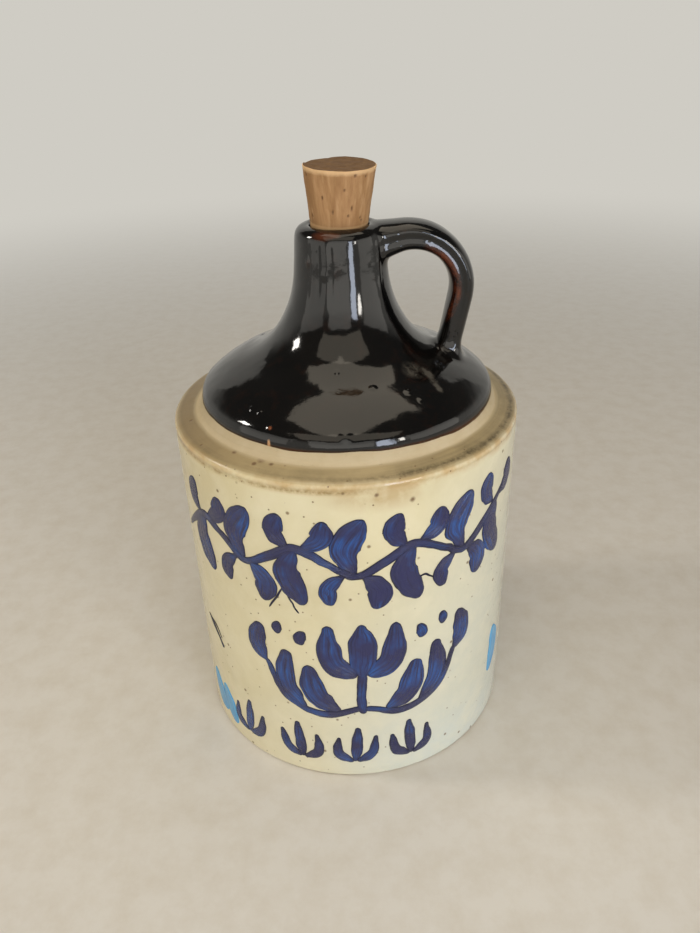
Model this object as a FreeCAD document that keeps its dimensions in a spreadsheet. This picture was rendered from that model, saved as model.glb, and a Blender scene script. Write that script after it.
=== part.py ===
"""One gallon stoneware shoulder jug with a tapered cork.

The jug is a single piece of fired clay: a straight body with a rounded
shoulder, a narrow ledge, a domed top that runs up into the neck, and a strap
handle from the lip to the dome.  It is corked, so it is modelled solid with a
blind tapered mouth.  The cork sits in that mouth.

Frame: millimetres, +Z up, origin at the centre of the base on the jug's axis,
handle towards +X, front towards -Y.
"""
import FreeCAD, Part
import math
import os
import Sketcher

V = FreeCAD.Vector
ORIGIN = (-1, 1)

# Driving dimensions: alias, value in millimetres or degrees, meaning.
SIZES = [
    ("body_radius", 89.0, "outer radius of the straight wall"),
    ("base_rounding", 2.0, "rounding between base and wall"),
    ("shoulder_height", 189.0, "height of the ledge where it meets the riser"),
    ("shoulder_rounding", 4.5, "rounding between wall and ledge"),
    ("ledge_slope", 12.0, "fall of the ledge towards the wall, degrees"),
    ("finger_line_drop", 7.6, "finger line round the wall, below the ledge's top"),
    ("finger_line_radius", 5.0, "section radius of the finger line"),
    ("finger_line_depth", 0.4, "depth of the finger line"),
    ("dome_radius", 74.8, "outer radius of the riser and of the dome's foot"),
    ("riser_height", 5.5, "upright riser above the ledge"),
    ("dome_edge_radius", 8.0, "radius of the dome's outer bend"),
    ("dome_edge_turn", 50.0, "turn of the outer bend, degrees"),
    ("crown_turn", 20.0, "turn of the dome's crown, degrees"),
    ("flare_radius", 39.5, "radius of the hollow bend from dome to neck"),
    ("flare_turn", 38.0, "turn of that hollow bend, degrees"),
    ("neck_bend_radius", 58.5, "radius of the slow bend up the neck"),
    ("neck_bend_turn", 27.5, "turn of the slow bend, degrees"),
    ("lip_height", 276.0, "height of the lip's top"),
    ("lip_wall", 7.4, "wall between the mouth and the outside of the lip"),
    ("lip_rounding", 5.4, "outer rounding of the lip"),
    ("mouth_rounding", 1.3, "rounding of the mouth's edge"),
    ("cork_top_radius", 16.9, "cork radius at its top"),
    ("cork_taper", 7.1, "lean of the cork's side, degrees"),
    ("cork_length", 38.0, "full length of the cork"),
    ("cork_exposed", 26.1, "cork above the lip"),
    ("cork_lean_to_handle", 2.0, "cork's lean towards the handle, degrees"),
    ("cork_lean_to_front", 2.5, "cork's lean towards the front, degrees"),
    ("cork_top_chamfer", 0.6, "worn edge at the cork's top"),
    ("cork_end_chamfer", 0.8, "worn edge at the cork's lower end"),
    ("seat_clearance", 0.15, "gap between cork and mouth, at the side and below"),
    ("handle_inset", 5.4, "handle's start inside the neck's outside"),
    ("handle_drop", 9.4, "handle's start below the lip's top"),
    ("handle_rise", 12.5, "upward lean of the handle's first run, degrees"),
    ("handle_run", 12.0, "length of the first run"),
    ("handle_bend_radius", 25.3, "radius of the handle's bend"),
    ("handle_lean", 11.0, "inward lean of the handle's last run, degrees"),
    ("root_width", 25.0, "strap width at the neck"),
    ("root_thickness", 18.0, "strap thickness at the neck"),
    ("grip_width", 21.0, "strap width at the bend"),
    ("grip_thickness", 12.0, "strap thickness at the bend"),
    ("heel_width", 20.0, "strap width below the bend"),
    ("heel_thickness", 11.8, "strap thickness below the bend"),
    ("foot_width", 17.0, "strap width where it ends inside the dome"),
    ("foot_thickness", 11.4, "strap thickness where it ends inside the dome"),
    ("handle_fillet", 4.0, "smoothing where the handle meets neck and dome"),
]

# Values that follow from the driving ones.
RISER_TOP = "Sizes.shoulder_height + Sizes.riser_height"
CORK_END = "Sizes.cork_exposed - Sizes.cork_length"
MOUTH_RADIUS = (
    "Sizes.cork_top_radius - Sizes.cork_exposed * tan(Sizes.cork_taper * 1 deg)"
    " + Sizes.seat_clearance"
)
NECK_RADIUS = MOUTH_RADIUS + " + Sizes.lip_wall"
LIP_ROUNDING = "min(Sizes.lip_rounding; 0.75 * Sizes.lip_wall)"
MOUTH_ROUNDING = "min(Sizes.mouth_rounding; 0.2 * Sizes.lip_wall)"


def make_sheet(doc):
    """Fill the spreadsheet with the driving dimensions."""
    sheet = doc.addObject("Spreadsheet::Sheet", "Sizes")
    for row, (alias, value, meaning) in enumerate(SIZES, start=1):
        sheet.set("A%d" % row, meaning)
        sheet.set("B%d" % row, str(value))
        sheet.setAlias("B%d" % row, alias)
    doc.recompute()
    return sheet


def worth(sheet, expression):
    """Value of an expression: millimetres, or radians for an angle."""
    value = FreeCAD.Units.Quantity(sheet.evalExpression(expression.replace("Sizes.", "")))
    return math.radians(value.Value) if value.Unit.Type == "Angle" else value.Value


def new_sketch(body, role, name):
    """Add a sketch that lies on one of the body's origin planes."""
    sketch = body.newObject("Sketcher::SketchObject", name)
    plane = next(item for item in body.Origin.OriginFeatures if item.Role == role)
    sketch.AttachmentSupport = (plane, "")
    sketch.MapMode = "FlatFace"
    return sketch


def bind(sketch, name, kind, where, expression):
    """Add a named constraint whose value comes from the spreadsheet."""
    value = worth(sketch.Document.Sizes, expression)
    index = sketch.addConstraint(Sketcher.Constraint(kind, *where, value))
    sketch.renameConstraint(index, name)
    sketch.setExpression("Constraints." + name, expression)


def add_feature(body, kind, name, expressions=()):
    """Add a PartDesign feature and tie its sizes to the spreadsheet."""
    feature = body.newObject("PartDesign::" + kind, name)
    for size, expression in expressions:
        feature.setExpression(size, expression)
    return feature


def turn_about_axis(body, kind, name, sketch):
    """Revolve a sketch about the upright axis, to add or to cut."""
    feature = add_feature(body, kind, name)
    feature.Profile = sketch
    feature.ReferenceAxis = (sketch, ["V_Axis"])
    feature.Angle = 360.0
    return feature


class Outline:
    """Lines and arcs drawn one after another from a point and a heading in degrees."""

    def __init__(self, sketch, x, y, heading):
        self.sketch = sketch
        self.point = V(x, y, 0)
        self.heading = heading
        self.last = None

    def add(self, edge, start, end, smooth):
        """Add an edge and tie its start to the end of the one before."""
        index = self.sketch.addGeometry(edge, False)
        if self.last is not None:
            kind = "Tangent" if smooth else "Coincident"
            self.sketch.addConstraint(Sketcher.Constraint(kind, *self.last, index, start))
        self.last = (index, end)
        return index

    def line(self, length, smooth=True):
        """Go straight on."""
        angle = math.radians(self.heading)
        start = self.point
        self.point = start + V(math.cos(angle), math.sin(angle), 0) * length
        return self.add(Part.LineSegment(start, self.point), 1, 2, smooth)

    def corner(self, heading, length):
        """Turn sharply to a new heading and go straight on."""
        self.heading = heading
        return self.line(length, smooth=False)

    def bend(self, radius, turn):
        """Bend to the left by a positive turn, or to the right by a negative one."""
        side = 1 if turn > 0 else -1
        outward = math.radians(self.heading - 90 * side)
        inner = outward + math.radians(turn)
        centre = self.point - V(math.cos(outward), math.sin(outward), 0) * radius
        circle = Part.Circle(centre, V(0, 0, 1), radius)
        arc = Part.ArcOfCircle(circle, min(outward, inner), max(outward, inner))
        self.point = centre + V(math.cos(inner), math.sin(inner), 0) * radius
        self.heading += turn
        ends = (1, 2) if turn > 0 else (2, 1)
        return self.add(arc, *ends, smooth=True)


def draw_jug_outline(sketch, size):
    """Half section of the jug, without the mouth: base, wall, ledge, dome, neck, lip.

    The crown of the dome is the one bend with no radius of its own: it takes the
    radius that brings the chain of bends to the neck.
    """
    run = Outline(sketch, 0, 0, 0)
    base = run.line(size.body_radius - size.base_rounding)
    base_bend = run.bend(size.base_rounding, 90)
    wall = run.line(size.shoulder_height - 2 * size.shoulder_rounding)
    shoulder = run.bend(size.shoulder_rounding, 90 - size.ledge_slope)
    ledge = run.line(size.body_radius - size.dome_radius - size.shoulder_rounding)
    riser = run.corner(90, size.riser_height)
    edge = run.bend(size.dome_edge_radius, size.dome_edge_turn)
    crown = run.bend(size.dome_radius, size.crown_turn)
    flare = run.bend(size.flare_radius, -size.flare_turn)
    neck_bend = run.bend(size.neck_bend_radius, -size.neck_bend_turn)
    neck = run.line(size.lip_height - run.point.y)
    lip = run.bend(size.lip_rounding, 180 - run.heading)
    top = run.line(run.point.x)
    axis = run.corner(270, run.point.y)
    sketch.addConstraint([
        Sketcher.Constraint("Coincident", base, 1, *ORIGIN),
        Sketcher.Constraint("Coincident", axis, 2, base, 1),
        Sketcher.Constraint("Horizontal", base),
        Sketcher.Constraint("Vertical", wall),
        Sketcher.Constraint("Vertical", riser),
        Sketcher.Constraint("Horizontal", top),
        Sketcher.Constraint("Vertical", axis),
    ])
    limits = [
        ("base_rounding", "Radius", (base_bend,), "Sizes.base_rounding"),
        ("shoulder_rounding", "Radius", (shoulder,), "Sizes.shoulder_rounding"),
        ("dome_edge_radius", "Radius", (edge,), "Sizes.dome_edge_radius"),
        ("flare_radius", "Radius", (flare,), "Sizes.flare_radius"),
        ("neck_bend_radius", "Radius", (neck_bend,), "Sizes.neck_bend_radius"),
        ("lip_rounding", "Radius", (lip,), LIP_ROUNDING),
        ("dome_edge_turn", "Angle", (edge,), "Sizes.dome_edge_turn * 1 deg"),
        ("crown_turn", "Angle", (crown,), "Sizes.crown_turn * 1 deg"),
        ("flare_turn", "Angle", (flare,), "Sizes.flare_turn * 1 deg"),
        ("neck_bend_turn", "Angle", (neck_bend,), "Sizes.neck_bend_turn * 1 deg"),
        ("ledge_slope", "Angle", (ledge,), "(180 - Sizes.ledge_slope) * 1 deg"),
        ("body_radius", "DistanceX", (*ORIGIN, wall, 1), "Sizes.body_radius"),
        ("dome_radius", "DistanceX", (*ORIGIN, riser, 1), "Sizes.dome_radius"),
        ("neck_radius", "DistanceX", (*ORIGIN, neck, 2), NECK_RADIUS),
        ("shoulder_height", "DistanceY", (*ORIGIN, riser, 1), "Sizes.shoulder_height"),
        ("riser_top", "DistanceY", (*ORIGIN, riser, 2), RISER_TOP),
        ("lip_height", "DistanceY", (*ORIGIN, top, 1), "Sizes.lip_height"),
    ]
    for limit in limits:
        bind(sketch, *limit)


def draw_finger_line(sketch, size):
    """Section of the shallow line that a finger left round the wall."""
    x = size.body_radius + size.finger_line_radius - size.finger_line_depth
    y = size.shoulder_height - size.finger_line_drop
    circle = Part.Circle(V(x, y, 0), V(0, 0, 1), size.finger_line_radius)
    index = sketch.addGeometry(circle, False)
    across = "Sizes.body_radius + Sizes.finger_line_radius - Sizes.finger_line_depth"
    up = "Sizes.shoulder_height - Sizes.finger_line_drop"
    bind(sketch, "radius", "Radius", (index,), "Sizes.finger_line_radius")
    bind(sketch, "across", "DistanceX", (*ORIGIN, index, 3), across)
    bind(sketch, "up", "DistanceY", (*ORIGIN, index, 3), up)


def draw_plug(sketch, gap):
    """Half section of the leaning cork, grown by a gap at its side and below.

    The sketch's origin is the centre of the lip's top, where the cork leans.
    """
    sketch.setExpression("AttachmentOffset.Base.y", "Sizes.lip_height")
    sketch.setExpression("AttachmentOffset.Rotation.Roll", "Sizes.cork_lean_to_handle * 1 deg")
    sketch.setExpression("AttachmentOffset.Rotation.Yaw", "Sizes.cork_lean_to_front * 1 deg")
    sheet = sketch.Document.Sizes
    top_radius = "Sizes.cork_top_radius + " + gap
    end = CORK_END + " - " + gap
    side_angle = 90 - sheet.cork_taper
    slant = sheet.cork_length / math.cos(math.radians(sheet.cork_taper))
    run = Outline(sketch, 0, worth(sheet, end), 0)
    bottom = run.line(sheet.cork_top_radius)
    side = run.corner(side_angle, slant)
    top = run.corner(180, run.point.x)
    axis = run.corner(270, sheet.cork_length)
    sketch.addConstraint([
        Sketcher.Constraint("Coincident", axis, 2, bottom, 1),
        Sketcher.Constraint("Horizontal", bottom),
        Sketcher.Constraint("Horizontal", top),
        Sketcher.Constraint("Vertical", axis),
        Sketcher.Constraint("PointOnObject", bottom, 1, -2),
    ])
    bind(sketch, "side", "Angle", (side,), "(90 - Sizes.cork_taper) * 1 deg")
    bind(sketch, "top_radius", "DistanceX", (*ORIGIN, side, 2), top_radius)
    bind(sketch, "top", "DistanceY", (*ORIGIN, side, 2), "Sizes.cork_exposed")
    bind(sketch, "end", "DistanceY", (bottom, 1, *ORIGIN), "-(" + end + ")")


def draw_handle_path(sketch, size):
    """Centre line of the strap: out of the neck, round the bend, down into the dome."""
    start_x = NECK_RADIUS + " - Sizes.handle_inset"
    start_z = "Sizes.lip_height - Sizes.handle_drop"
    run = Outline(sketch, worth(size, start_x), worth(size, start_z), size.handle_rise)
    first = run.line(size.handle_run)
    bend = run.bend(size.handle_bend_radius, -(90 + size.handle_rise + size.handle_lean))
    last = run.line(run.point.y - worth(size, RISER_TOP))
    bind(sketch, "start_x", "DistanceX", (*ORIGIN, first, 1), start_x)
    bind(sketch, "start_z", "DistanceY", (*ORIGIN, first, 1), start_z)
    bind(sketch, "rise", "Angle", (first,), "Sizes.handle_rise * 1 deg")
    bind(sketch, "run", "Distance", (first,), "Sizes.handle_run")
    bind(sketch, "bend", "Radius", (bend,), "Sizes.handle_bend_radius")
    bind(sketch, "lean", "Angle", (last,), "(-90 - Sizes.handle_lean) * 1 deg")
    bind(sketch, "end_z", "DistanceY", (*ORIGIN, last, 2), RISER_TOP)


def draw_strap_section(body, name, path, edge, share):
    """Oval section of the strap, square to the path at a share of one of its edges."""
    sketch = body.newObject("Sketcher::SketchObject", name.title() + "Section")
    sketch.AttachmentSupport = [(path, edge)]
    sketch.MapMode = "NormalToEdge"
    sketch.MapPathParameter = share
    width = "Sizes.%s_width" % name
    thickness = "Sizes.%s_thickness" % name
    sheet = body.Document.Sizes
    half_width = V(worth(sheet, width) / 2, 0, 0)
    half_thickness = V(0, worth(sheet, thickness) / 2, 0)
    oval = sketch.addGeometry(Part.Ellipse(half_width, half_thickness, V(0, 0, 0)), False)
    sketch.exposeInternalGeometry(oval)
    long_axis = oval + 1
    short_axis = oval + 2
    sketch.addConstraint(Sketcher.Constraint("Coincident", oval, 3, *ORIGIN))
    sketch.addConstraint(Sketcher.Constraint("Horizontal", long_axis))
    bind(sketch, "width", "Distance", (long_axis,), width)
    bind(sketch, "thickness", "Distance", (short_axis,), thickness)
    return sketch


def joint_edges(shape):
    """Names of the edges where the strap's free-form faces meet the thrown ones."""
    names = []
    for number, edge in enumerate(shape.Edges, start=1):
        faces = shape.ancestorsOfType(edge, Part.Face)
        freeform = [face for face in faces if "BSpline" in face.Surface.TypeId]
        if len(freeform) == 1:
            names.append("Edge%d" % number)
    return names


def ring_edges(shape, place, radius):
    """Names of the circular edges round this point with this radius."""
    names = []
    for number, edge in enumerate(shape.Edges, start=1):
        curve = edge.Curve
        if isinstance(curve, Part.Circle) and abs(curve.Radius - radius) < 0.01:
            if curve.Center.distanceToPoint(place) < 0.01:
                names.append("Edge%d" % number)
    return names


def mouth_edges(shape, height):
    """Names of the edges that the mouth leaves on the lip's flat top."""
    names = []
    for number, edge in enumerate(shape.Edges, start=1):
        box = edge.BoundBox
        kinds = [face.Surface.TypeId for face in shape.ancestorsOfType(edge, Part.Face)]
        if abs(box.ZMin - height) < 0.01 and abs(box.ZMax - height) < 0.01:
            if "Part::GeomCone" in kinds and "Part::GeomPlane" in kinds:
                names.append("Edge%d" % number)
    return names


def make_jug(doc, size):
    """Thrown body, pulled strap handle, tapered mouth."""
    body = doc.addObject("PartDesign::Body", "StonewareJug")
    body.Label = "stoneware_jug"
    outline = new_sketch(body, "YZ_Plane", "JugOutline")
    draw_jug_outline(outline, size)
    turn_about_axis(body, "Revolution", "Thrown", outline)

    path = new_sketch(body, "XZ_Plane", "HandlePath")
    draw_handle_path(path, size)
    doc.recompute()
    root = draw_strap_section(body, "root", path, "Edge1", 0.0)
    grip = draw_strap_section(body, "grip", path, "Edge2", 0.45)
    heel = draw_strap_section(body, "heel", path, "Edge3", 0.0)
    foot = draw_strap_section(body, "foot", path, "Edge3", 1.0)
    strap = add_feature(body, "AdditivePipe", "Handle")
    strap.Profile = root
    strap.Spine = (path, [])
    strap.Transformation = "Multisection"
    strap.Sections = [(section, [""]) for section in (grip, heel, foot)]
    doc.recompute()

    joints = add_feature(body, "Fillet", "HandleJoints", [("Radius", "Sizes.handle_fillet")])
    joints.Base = (strap, joint_edges(strap.Shape))

    finger_line = new_sketch(body, "YZ_Plane", "FingerLineSection")
    draw_finger_line(finger_line, size)
    turn_about_axis(body, "Groove", "FingerLine", finger_line)

    seat = new_sketch(body, "YZ_Plane", "MouthSection")
    draw_plug(seat, "Sizes.seat_clearance")
    mouth = turn_about_axis(body, "Groove", "Mouth", seat)
    doc.recompute()

    rounding = add_feature(body, "Fillet", "MouthEdge", [("Radius", MOUTH_ROUNDING)])
    rounding.Base = (mouth, mouth_edges(mouth.Shape, size.lip_height))
    return body


def make_cork(doc, size):
    """Tapered cork, seated in the mouth."""
    body = doc.addObject("PartDesign::Body", "CorkStopper")
    body.Label = "cork_stopper"
    section = new_sketch(body, "YZ_Plane", "CorkSection")
    draw_plug(section, "0")
    turned = turn_about_axis(body, "Revolution", "Cork", section)
    doc.recompute()

    top = section.Placement.multVec(V(0, size.cork_exposed, 0))
    worn_top = add_feature(body, "Chamfer", "WornTop", [("Size", "Sizes.cork_top_chamfer")])
    worn_top.Base = (turned, ring_edges(turned.Shape, top, size.cork_top_radius))
    doc.recompute()

    end = section.Placement.multVec(V(0, size.cork_exposed - size.cork_length, 0))
    end_radius = size.cork_top_radius - size.cork_length * math.tan(math.radians(size.cork_taper))
    worn_end = add_feature(body, "Chamfer", "WornEnd", [("Size", "Sizes.cork_end_chamfer")])
    worn_end.Base = (worn_top, ring_edges(worn_top.Shape, end, end_radius))
    return body


def check(doc, bodies):
    """Stop if any object failed or a piece isn't one valid solid."""
    for item in doc.Objects:
        faults = {"Invalid", "Error"} & set(item.State)
        if faults:
            raise RuntimeError("%s: %s" % (item.Name, ", ".join(sorted(faults))))
    for body in bodies:
        shape = body.Shape
        if shape.isNull() or not shape.isValid() or len(shape.Solids) != 1:
            raise RuntimeError("%s isn't one valid solid" % body.Label)


def main():
    doc = FreeCAD.newDocument("jug")
    size = make_sheet(doc)
    bodies = [make_jug(doc, size), make_cork(doc, size)]
    doc.recompute()
    check(doc, bodies)
    os.makedirs("parts", exist_ok=True)
    for body in bodies:
        body.Shape.exportStep("parts/%s.step" % body.Label)
        print(body.Label, "%.0f mm3" % body.Shape.Volume)


main()
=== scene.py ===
import bmesh
import bpy
import math
from mathutils import Matrix, Vector, noise


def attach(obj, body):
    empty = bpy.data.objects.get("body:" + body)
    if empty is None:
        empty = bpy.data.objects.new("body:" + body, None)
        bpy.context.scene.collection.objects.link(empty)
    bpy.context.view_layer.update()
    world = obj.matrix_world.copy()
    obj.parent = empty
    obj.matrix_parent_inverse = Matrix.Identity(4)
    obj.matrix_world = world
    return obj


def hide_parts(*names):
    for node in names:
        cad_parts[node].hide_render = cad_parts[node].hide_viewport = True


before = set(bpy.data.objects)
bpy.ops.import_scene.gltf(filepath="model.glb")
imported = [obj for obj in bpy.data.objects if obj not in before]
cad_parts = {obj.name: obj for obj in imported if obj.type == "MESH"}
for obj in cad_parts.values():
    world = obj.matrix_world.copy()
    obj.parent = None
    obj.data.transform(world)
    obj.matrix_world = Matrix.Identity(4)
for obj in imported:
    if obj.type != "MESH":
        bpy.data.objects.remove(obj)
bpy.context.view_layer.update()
scene = bpy.context.scene
scene.view_settings.view_transform = "Standard"

# ---------------------------------------------------------------- Camera
# A person standing close to a table, looking down on the jug at 30 degrees
# and holding the view a little out of level.
eye = Matrix.Translation((0.00114, -0.37018, 0.35896))
tipped = Matrix.Rotation(math.radians(90 - 30.13), 4, "X")
out_of_level = Matrix.Rotation(-0.0339, 4, "Z")
bpy.ops.object.camera_add()
camera = bpy.context.object
camera.matrix_world = eye @ tipped @ out_of_level
camera.data.lens = 29.94
camera.data.sensor_width = 36
camera.data.clip_start = 0.01
camera.data.clip_end = 50
scene.camera = camera


# ------------------------------------------------- Table top and backdrop
# A pale matt sheet of card that lies under the jug and curves up behind it.
# It is a single piece, lit evenly, so that only the jug's shadow shows on it.
def linear(hex_colour):
    """An sRGB hex colour as linear RGBA."""
    parts = [int(hex_colour[i : i + 2], 16) / 255 for i in (1, 3, 5)]
    return (*[p / 12.92 if p < 0.04045 else ((p + 0.055) / 1.055) ** 2.4 for p in parts], 1)


def connect(tree, node, sockets):
    """Sets each socket by a value, or links it to a named output or to a node's first output."""
    for name, value in sockets.items():
        if isinstance(value, bpy.types.Node):
            value = next(output for output in value.outputs if output.enabled)
        if isinstance(value, bpy.types.NodeSocket):
            tree.links.new(value, node.inputs[name])
        else:
            node.inputs[name].default_value = value


def add(tree, kind, sockets, **settings):
    """A node with its settings, its values and its links."""
    node = tree.nodes.new(kind)
    for name, value in settings.items():
        setattr(node, name, value)
    connect(tree, node, sockets)
    return node


def lay_tints(tree, base, tints):
    """Lays each tint over the base where its measure goes from start to end, up to its most."""
    for measure, start, end, most, hue in tints:
        mask = add(tree, "ShaderNodeMapRange", {
            "Value": measure, "From Min": start, "From Max": end, "To Max": most,
        })
        base = add(tree, "ShaderNodeMix", {"Factor": mask, "A": base, "B": linear(hue)}, data_type="RGBA")
    return base


def seen_directly(tree):
    """1 for rays from the camera, a mirror or glass, and 0 for those that carry light."""
    rays = add(tree, "ShaderNodeLightPath", {})
    seen = rays.outputs["Is Camera Ray"]
    for kind in ("Is Glossy Ray", "Is Transmission Ray"):
        seen = add(tree, "ShaderNodeMath", {0: seen, 1: rays.outputs[kind]}, operation="MAXIMUM")
    return seen


def new_material(name):
    """A node material, with its node tree and its shader."""
    material = bpy.data.materials.new(name)
    material.use_nodes = True
    return material, material.node_tree, material.node_tree.nodes["Principled BSDF"]


def new_piece(name):
    """The object just added, under its name, with its place in its mesh."""
    bpy.ops.object.transform_apply(location=True, rotation=True, scale=True)
    piece = bpy.context.object
    piece.name = name
    piece.data.name = name
    return piece


def pick_edges(piece, wanted):
    """Selects just the edges whose two ends are both wanted."""
    bpy.ops.mesh.select_mode(type="EDGE")
    bpy.ops.mesh.select_all(action="DESELECT")
    shape = bmesh.from_edit_mesh(piece.data)
    for edge in shape.edges:
        edge.select_set(all(wanted(vertex.co) for vertex in edge.verts))
    bmesh.update_edit_mesh(piece.data)


CARD_SIZE, CARD_BEND = 6, 1.4
back_edge = CARD_SIZE / 2 + 0.2
bpy.ops.object.select_all(action="DESELECT")
bpy.ops.mesh.primitive_grid_add(x_subdivisions=2, y_subdivisions=2, size=CARD_SIZE, location=(0, 0.2, 0))
card = new_piece("backdrop_card")
bpy.ops.object.mode_set(mode="EDIT")
pick_edges(card, lambda co: co.y > back_edge - 0.1)
bpy.ops.mesh.extrude_region_move(TRANSFORM_OT_translate={"value": (0, 0, 3)})
pick_edges(card, lambda co: co.y > back_edge - 0.1 and co.z < 0.01)
bpy.ops.mesh.bevel(offset=CARD_BEND, segments=24)
bpy.ops.object.mode_set(mode="OBJECT")
bpy.ops.object.shade_smooth()
# card: pale, matt and slightly fibrous; far from the jug it only shows its own pale tone
PALE = linear("#CFCCC4")
matt_card, tree, shader = new_material("matt_card")
place = add(tree, "ShaderNodeTexCoord", {}).outputs["Object"]
fibres = add(tree, "ShaderNodeTexNoise", {"Vector": place, "Scale": 60, "Detail": 6, "Roughness": 0.65})
tone = lay_tints(tree, linear("#DEDAD2"), [(fibres, 0.4, 0.7, 1, "#D6D0C5")])
connect(tree, shader, {"Base Color": tone, "Roughness": 0.75, "Specular IOR Level": 0.2})
distance = add(tree, "ShaderNodeVectorMath", {0: place}, operation="LENGTH").outputs["Value"]
far = {"Value": distance, "From Min": 0.22, "From Max": 1.6, "To Max": seen_directly(tree)}
far = add(tree, "ShaderNodeMapRange", far, interpolation_type="SMOOTHSTEP")
pale_card = add(tree, "ShaderNodeEmission", {"Color": PALE, "Strength": 1.0})
both = add(tree, "ShaderNodeMixShader", {0: far, 1: shader, 2: pale_card})
connect(tree, tree.nodes["Material Output"], {"Surface": both})
card.data.materials.append(matt_card)


# ---------------------------------------------------------------- Lights
# Two small lamps and a tall narrow one on the right, cool like a window, give
# the sharp glints; big dim panels round the front and overhead light the rest.
def add_lamp(name, direction, distance, size, power, tint="#FFFAF1"):
    """An oblong lamp, metres wide and high, that faces the jug's middle from this direction."""
    towards = Vector(direction).normalized()
    jug_middle = Vector((0, 0, 0.16))
    bpy.ops.object.light_add(type="AREA", location=jug_middle + towards * distance)
    lamp = bpy.context.object
    lamp.name = name
    lamp.rotation_euler = towards.to_track_quat("Z", "Y").to_euler()
    lamp.data.shape = "RECTANGLE"
    lamp.data.size, lamp.data.size_y = size
    lamp.data.energy = power
    lamp.data.color = linear(tint)[:3]
    lamp.visible_camera = False


add_lamp("left_lamp", (-0.835, 0.03, 0.55), 1.3, (0.2, 0.2), 4.0)
add_lamp("window_strip", (0.42, -0.90, 0.15), 1.35, (0.26, 0.75), 5.6, "#E2ECFF")
add_lamp("small_lamp", (0.60, -0.78, 0.24), 1.3, (0.11, 0.34), 2.4)
add_lamp("front_panel", (-0.10, -0.96, 0.23), 1.5, (1.2, 1.0), 4.4)
add_lamp("left_panel", (-0.88, -0.43, 0.2), 1.5, (1.2, 0.9), 2.4)
add_lamp("right_panel", (0.90, -0.38, 0.2), 1.5, (1.2, 0.9), 3.2)
add_lamp("upper_panel", (-0.03, -0.60, 0.80), 1.35, (1.6, 0.75), 3.8, "#FFF2DC")
add_lamp("overhead_panel", (0.04, 0.04, 1.0), 1.15, (0.8, 1.1), 4.4, "#FFF2DC")
# the room gives little light of its own; it is seen pale at the horizon and dark overhead
scene.world = scene.world or bpy.data.worlds.new("plain_room")
scene.world.use_nodes = True
tree = scene.world.node_tree
room = tree.nodes["Background"]
connect(tree, room, {"Color": linear("#F2F2F2"), "Strength": 0.1})
upwards = add(tree, "ShaderNodeTexCoord", {}).outputs["Generated"]
upwards = add(tree, "ShaderNodeSeparateXYZ", {"Vector": upwards}).outputs["Z"]
overhead = {"Value": upwards, "From Min": 0.18, "From Max": 0.5}
overhead = add(tree, "ShaderNodeMapRange", overhead, interpolation_type="SMOOTHSTEP")
room_tone = add(tree, "ShaderNodeMix", {
    "Factor": overhead, "A": PALE, "B": linear("#4A4947"),
}, data_type="RGBA")
pale_room = add(tree, "ShaderNodeBackground", {"Color": room_tone, "Strength": 1.0})
room_seen = add(tree, "ShaderNodeMixShader", {0: seen_directly(tree), 1: room, 2: pale_room})
connect(tree, tree.nodes["World Output"], {"Surface": room_seen})


# ------------------------------------------------- Thrown stoneware body
# The lower part of the jug: a straight wheel-thrown wall with a finger groove
# and a bead under the shoulder, a narrow sloping ledge and a short riser. It
# is fired clay in a cream glaze; the riser and the underside are left bare.
MM = 0.001


def arc(start, heading, radius, turn, steps):
    """Profile points along an arc: start is (radius, height) in mm, heading and turn are in degrees."""
    side = 1 if turn > 0 else -1
    first = math.radians(heading)
    centre = (start[0] - side * radius * math.sin(first), start[1] + side * radius * math.cos(first))
    angles = [first + math.radians(turn) * step / steps for step in range(1, steps + 1)]
    return [
        (centre[0] + side * radius * math.sin(a), centre[1] - side * radius * math.cos(a))
        for a in angles
    ]


def slope(start, end, steps):
    """Profile points along a straight run, without its start."""
    return [tuple(a + (b - a) * step / steps for a, b in zip(start, end)) for step in range(1, steps + 1)]


def start_ring(name, vertices, radius, height):
    """An open ring at its size and place, selected in edit mode."""
    bpy.ops.object.select_all(action="DESELECT")
    bpy.ops.mesh.primitive_circle_add(vertices=vertices, radius=radius * MM, location=(0, 0, height * MM))
    piece = new_piece(name)
    bpy.ops.object.mode_set(mode="EDIT")
    bpy.ops.mesh.select_mode(type="EDGE")
    bpy.ops.mesh.select_all(action="SELECT")
    return piece


def pull_up(rings, lean=(0, 0)):
    """Pulls the selected ring through the profile, as on a wheel; lean is mm sideways for each mm up."""
    base = rings[0][1]
    for (r0, z0), (r1, z1) in zip(rings, rings[1:]):
        rise = z1 - z0
        step = Vector((lean[0] * rise, lean[1] * rise, rise)) * MM
        bpy.ops.mesh.extrude_region_move(TRANSFORM_OT_translate={"value": step})
        middle = (lean[0] * (z1 - base) * MM, lean[1] * (z1 - base) * MM, 0)
        bpy.ops.transform.resize(value=(r1 / r0, r1 / r0, 1), center_override=middle)


def close_shape(piece):
    """Fills the open ends, merges doubles and turns the faces outwards."""
    bpy.ops.mesh.select_mode(type="EDGE")
    bpy.ops.mesh.select_all(action="DESELECT")
    bpy.ops.mesh.select_non_manifold()
    bpy.ops.mesh.fill_holes(sides=0)
    bpy.ops.mesh.select_all(action="SELECT")
    bpy.ops.mesh.remove_doubles(threshold=1e-6)
    bpy.ops.mesh.normals_make_consistent(inside=False)
    bpy.ops.object.mode_set(mode="OBJECT")
    bpy.ops.object.shade_smooth()


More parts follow.
